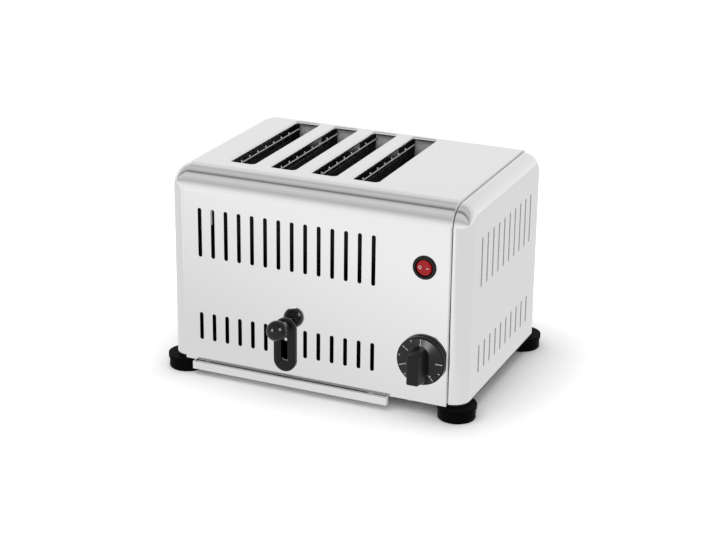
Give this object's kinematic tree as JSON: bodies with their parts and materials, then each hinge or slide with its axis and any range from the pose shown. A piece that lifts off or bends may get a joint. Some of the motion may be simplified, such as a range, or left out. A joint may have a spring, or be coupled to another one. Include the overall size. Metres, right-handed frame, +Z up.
{
  "type": "toaster",
  "caption": "Commercial slot toaster in a bright steel case with a lift lever, timer dial, rocker switch and pull-out crumb tray.",
  "frame": {"origin": "on the table under the middle of the outer box", "axes": "+X to the right seen from the front, +Y to the back, +Z up; the lever, timer and switch face -Y"},
  "size_m": [0.34, 0.264, 0.221],
  "materials": {
    "bright_steel": "polished stainless sheet",
    "tray_steel": "satin stainless sheet",
    "inner_steel": "zinc-coated sheet",
    "fastener_steel": "zinc-plated",
    "rod_steel": "bright plated wire and rod",
    "foot_rubber": "matte black",
    "black_plastic": "satin black",
    "ball_plastic": "glossy black",
    "rocker_plastic": "translucent red",
    "black_metal": "black coating",
    "mica": "mica board",
    "heater_alloy": "oxidised ribbon",
    "brass": "plain",
    "pale_plastic": "plain"
  },
  "bodies": {
    "case": {"wrap_cover": "bright_steel", "end_cap_left": "bright_steel", "end_cap_right": "bright_steel", "base_plate": "inner_steel", "tray_runners": "inner_steel", "bulkhead_front": "inner_steel", "bulkhead_rear": "inner_steel", "chamber_left": "inner_steel", "chamber_right": "inner_steel", "guide_bracket": "inner_steel", "timer_body": "inner_steel", "foot_bolts": "fastener_steel", "case_screws": "fastener_steel", "timer_screws": "fastener_steel", "stop_sleeves": "fastener_steel", "guide_rods": "rod_steel", "bread_guard_1": "rod_steel", "bread_guard_2": "rod_steel", "bread_guard_3": "rod_steel", "bread_guard_4": "rod_steel", "bread_guard_5": "rod_steel", "bread_guard_6": "rod_steel", "bread_guard_7": "rod_steel", "bread_guard_8": "rod_steel", "foot_1": "foot_rubber", "foot_2": "foot_rubber", "foot_3": "foot_rubber", "foot_4": "foot_rubber", "lever_plate": "black_plastic", "switch_body": "black_plastic", "cord_gland": "black_plastic", "heater_board_1": "mica", "heater_board_2": "mica", "heater_board_3": "mica", "heater_board_4": "mica", "heater_board_5": "mica", "heater_winding_1": "heater_alloy", "heater_winding_2": "heater_alloy", "heater_winding_3": "heater_alloy", "heater_winding_4": "heater_alloy", "heater_winding_5": "heater_alloy", "bus_bars": "brass", "terminal_block": "pale_plastic", "lead_wires": "pale_plastic"},
    "carriage": {"lever_ball": "ball_plastic", "lever_rod": "rod_steel", "lever_shutter": "black_metal", "shutter_rivet": "rod_steel", "carriage_bar": "inner_steel", "guide_bushes": "brass", "brake_spring": "inner_steel", "bread_rack_1": "inner_steel", "bread_rack_2": "inner_steel", "bread_rack_3": "inner_steel", "bread_rack_4": "inner_steel"},
    "dial": {"timer_knob": "black_plastic", "timer_shaft": "rod_steel"},
    "rocker": {"switch_rocker": "rocker_plastic"},
    "tray": {"crumb_tray": "tray_steel"}
  },
  "joints": [
    {"name": "lever_slide", "type": "slide", "parent": "case", "child": "carriage", "axis": [0, 0, 1], "range_m": [-0.034, 0]},
    {"name": "timer_turn", "type": "hinge", "parent": "case", "child": "dial", "pos_m": [0.118, -0.112, 0.061], "axis": [0, 1, 0], "range_deg": [0, 270]},
    {"name": "rocker_tilt", "type": "hinge", "parent": "case", "child": "rocker", "pos_m": [0.118, -0.1014, 0.1565], "axis": [0, 0, 1], "range_deg": [0, 18]},
    {"name": "tray_slide", "type": "slide", "parent": "case", "child": "tray", "axis": [0, -1, 0], "range_m": [0, 0.2]}
  ]
}
